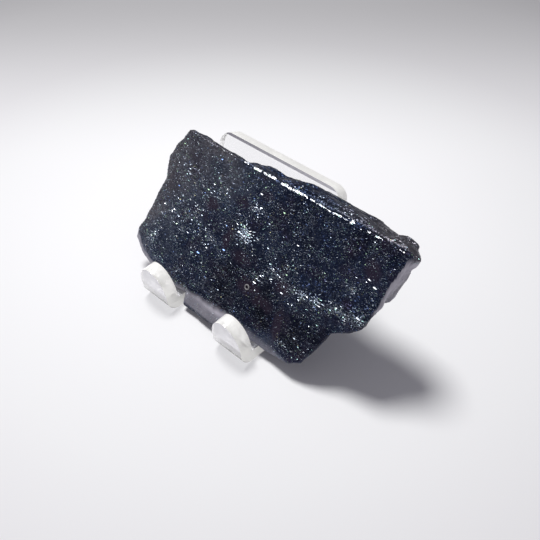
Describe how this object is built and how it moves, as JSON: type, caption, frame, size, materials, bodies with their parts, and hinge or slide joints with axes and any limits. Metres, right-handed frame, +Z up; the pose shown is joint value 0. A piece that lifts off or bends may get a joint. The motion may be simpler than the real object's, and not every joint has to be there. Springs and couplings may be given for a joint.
{
  "type": "specular hematite specimen on an easel",
  "caption": "Sparkling blue-black slab of specular hematite leaning in a small clear acrylic easel with two round-topped lips and a bent-back rear leg.",
  "frame": {"origin": "middle of the object's box, on the surface that it stands on", "axes": "+X along the stand and the slab's length, +Y to the back, +Z up"},
  "size_m": [0.0656, 0.0462, 0.0333],
  "materials": {
    "hematite": "micaceous, sparkling",
    "clear_acrylic": "clear, polished edges"
  },
  "bodies": {
    "root": {"hematite_slab": "hematite", "easel": "clear_acrylic"}
  },
  "joints": []
}
